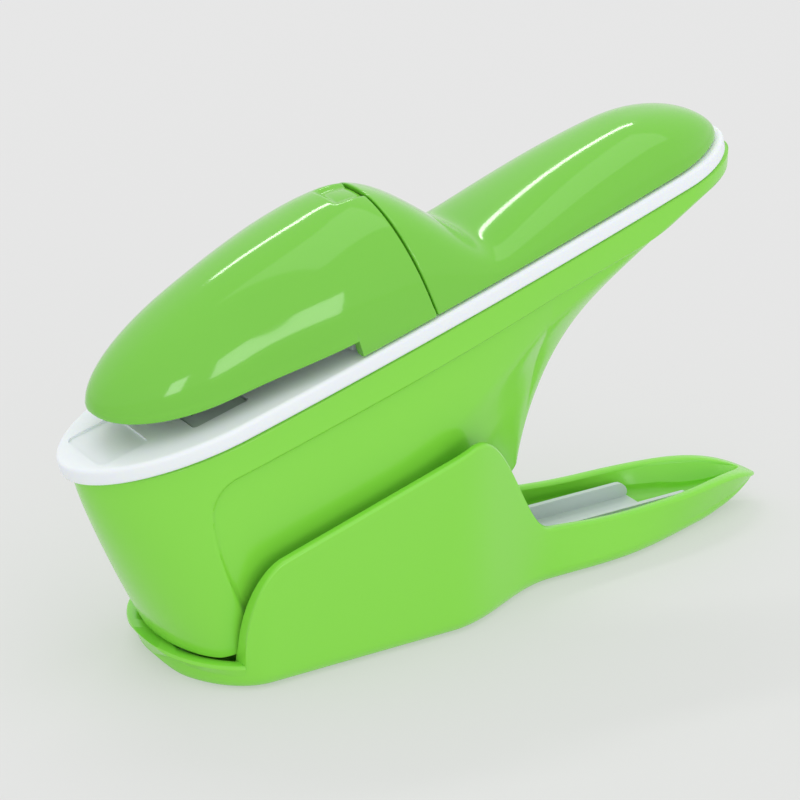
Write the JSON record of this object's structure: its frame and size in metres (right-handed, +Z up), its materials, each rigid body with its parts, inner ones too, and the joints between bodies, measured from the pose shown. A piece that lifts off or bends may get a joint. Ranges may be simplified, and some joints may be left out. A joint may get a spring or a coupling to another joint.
{
  "type": "staple-free stapler",
  "caption": "Hand-squeeze staple-free stapler: a bullet-shaped jaw over a white paper plate, a hull-shaped housing and a winged squeeze lever with a boat-shaped tail.",
  "frame": {"origin": "on the flat underside of the squeeze lever and on the centre plane, 57.2 mm behind the plate's nose", "axes": "+X from the nose to the tail, +Y to the left, +Z up"},
  "size_m": [0.1164, 0.032, 0.0659],
  "materials": {
    "jaw_green": "polished lime green ABS, slightly deeper than the body",
    "body_green": "semi-gloss lime green ABS",
    "plate_white": "satin white ABS with a cool cast",
    "core_grey": "pale grey acetal",
    "pressed_steel": "zinc-plated pressed sheet",
    "tool_steel": "ground tool steel",
    "pin_steel": "bright drawn pins, posts, spring wire and screws"
  },
  "bodies": {
    "lever": {"squeeze_lever": "body_green", "lever_channel": "core_grey", "channel_screw_front": "pin_steel", "channel_screw_rear": "pin_steel", "main_pivot_pin": "pin_steel", "push_roller": "core_grey", "roller_pin": "pin_steel", "return_spring": "pin_steel"},
    "housing": {"lower_housing": "body_green", "table_plate": "plate_white", "punch_guide": "core_grey", "rear_cover": "jaw_green", "head_core": "core_grey", "die_plate": "tool_steel", "mechanism_frame": "pressed_steel", "cover_catch": "pressed_steel", "tucker_pin": "pin_steel", "rocker_pin": "pin_steel", "guide_post_front": "pin_steel", "guide_post_rear": "pin_steel", "core_screw_left": "pin_steel", "core_screw_right": "pin_steel", "rear_cover_screw": "pin_steel"},
    "carriage": {"punch_carriage": "core_grey", "tongue_punch": "tool_steel", "slit_knife": "tool_steel"},
    "rocker": {"drive_rocker": "pressed_steel"},
    "tucker": {"tucker_finger": "pressed_steel"},
    "cover": {"head_cover": "jaw_green"}
  },
  "joints": [
    {"name": "squeeze", "type": "hinge", "parent": "lever", "child": "housing", "pos_m": [-0.0385, 0, 0.0082], "axis": [0, 1, 0], "range_deg": [0, 12.5], "stiffness_Nm_per_rad": 0.3, "springref_deg": -20.05, "deforming": ["return_spring"]},
    {"name": "carriage_slide", "type": "slide", "parent": "housing", "child": "carriage", "axis": [-0.2639, 0, 0.9646], "range_m": [0, 0.0056]},
    {"name": "rocker_turn", "type": "hinge", "parent": "housing", "child": "rocker", "pos_m": [-0.001, 0, 0.02056], "axis": [0, 1, 0], "range_deg": [0, 10.5]},
    {"name": "tucker_turn", "type": "hinge", "parent": "housing", "child": "tucker", "pos_m": [-0.03451, 0, 0.04649], "axis": [0, -1, 0], "range_deg": [0, 8.1]},
    {"name": "cover_slide", "type": "slide", "parent": "housing", "child": "cover", "axis": [-0.9646, 0, -0.2639], "range_m": [0, 0.014]}
  ],
  "couplings": [
    {"joint": "carriage_slide", "follows": "squeeze", "m_per_rad": 0.0251},
    {"joint": "rocker_turn", "follows": "squeeze", "ratio": 0.83},
    {"joint": "tucker_turn", "follows": "squeeze", "ratio": 0.64}
  ]
}
